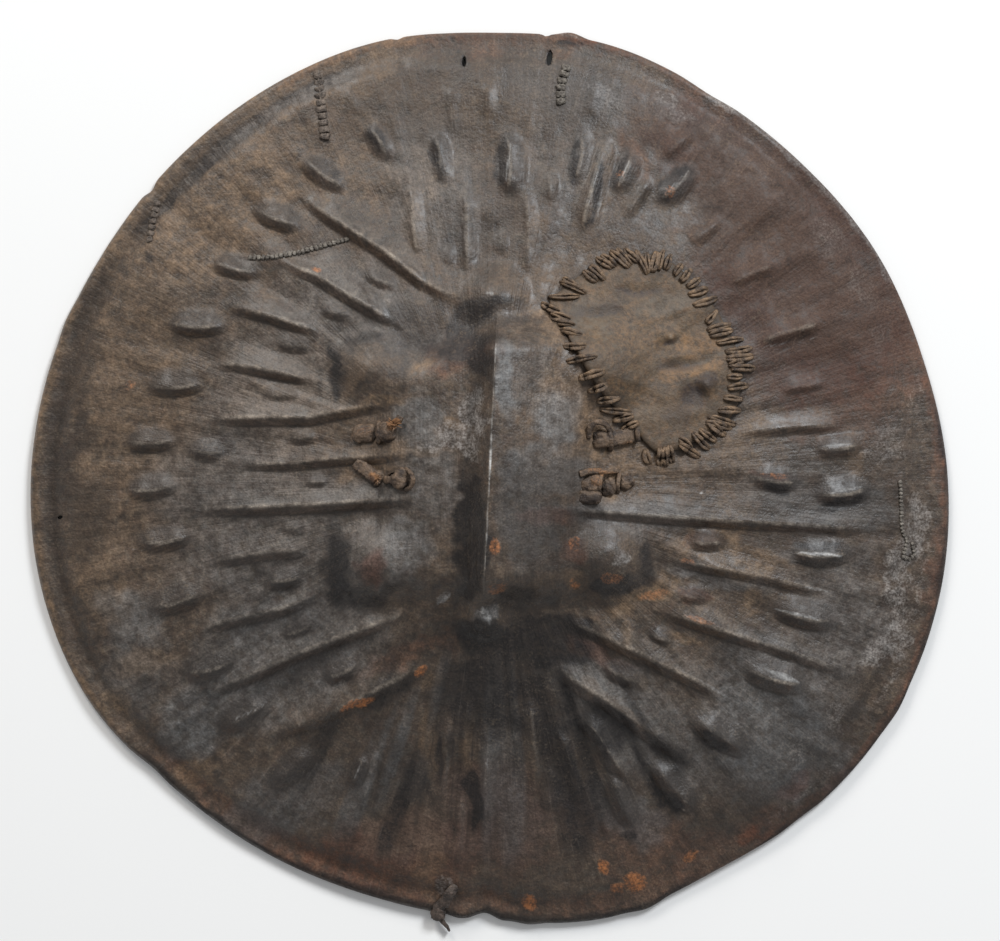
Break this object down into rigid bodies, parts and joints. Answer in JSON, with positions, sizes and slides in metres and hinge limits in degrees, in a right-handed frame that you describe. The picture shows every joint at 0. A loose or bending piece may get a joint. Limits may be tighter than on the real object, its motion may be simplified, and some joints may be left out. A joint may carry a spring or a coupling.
{
  "type": "round hide shield",
  "caption": "Round moulded hide shield with a keeled central boss, radial ribs, a laced repair patch and a hide hand grip behind the boss.",
  "frame": {"origin": "middle of the shield's box, on the plane of the rim that it lies on", "axes": "+Z out of the hammered front face, +X along the hand grip, +Y along the keel towards the two slots in the top edge"},
  "size_m": [0.6802, 0.6648, 0.123],
  "materials": {
    "hide": "thick dark brown hide, hammered, worn to a dull gloss, scuffed grey and ochre",
    "patch_hide": "ochre brown hide patch, matt and scratched",
    "hide_thong": "dark twisted hide thong, greasy and dull",
    "grip_hide": "brown hide strap, polished by the hand"
  },
  "bodies": {
    "root": {"shield_body": "hide", "repair_patch": "patch_hide", "patch_lacing": "hide_thong", "hand_grip": "grip_hide", "knot_upper_left": "hide_thong", "knot_lower_left": "hide_thong", "knot_upper_right": "hide_thong", "knot_lower_right": "hide_thong", "top_crack_stitching": "hide_thong", "left_crack_stitching": "hide_thong", "left_edge_stitching": "hide_thong", "top_edge_stitching": "hide_thong", "right_edge_stitching": "hide_thong", "edge_thong": "hide_thong"}
  },
  "joints": []
}
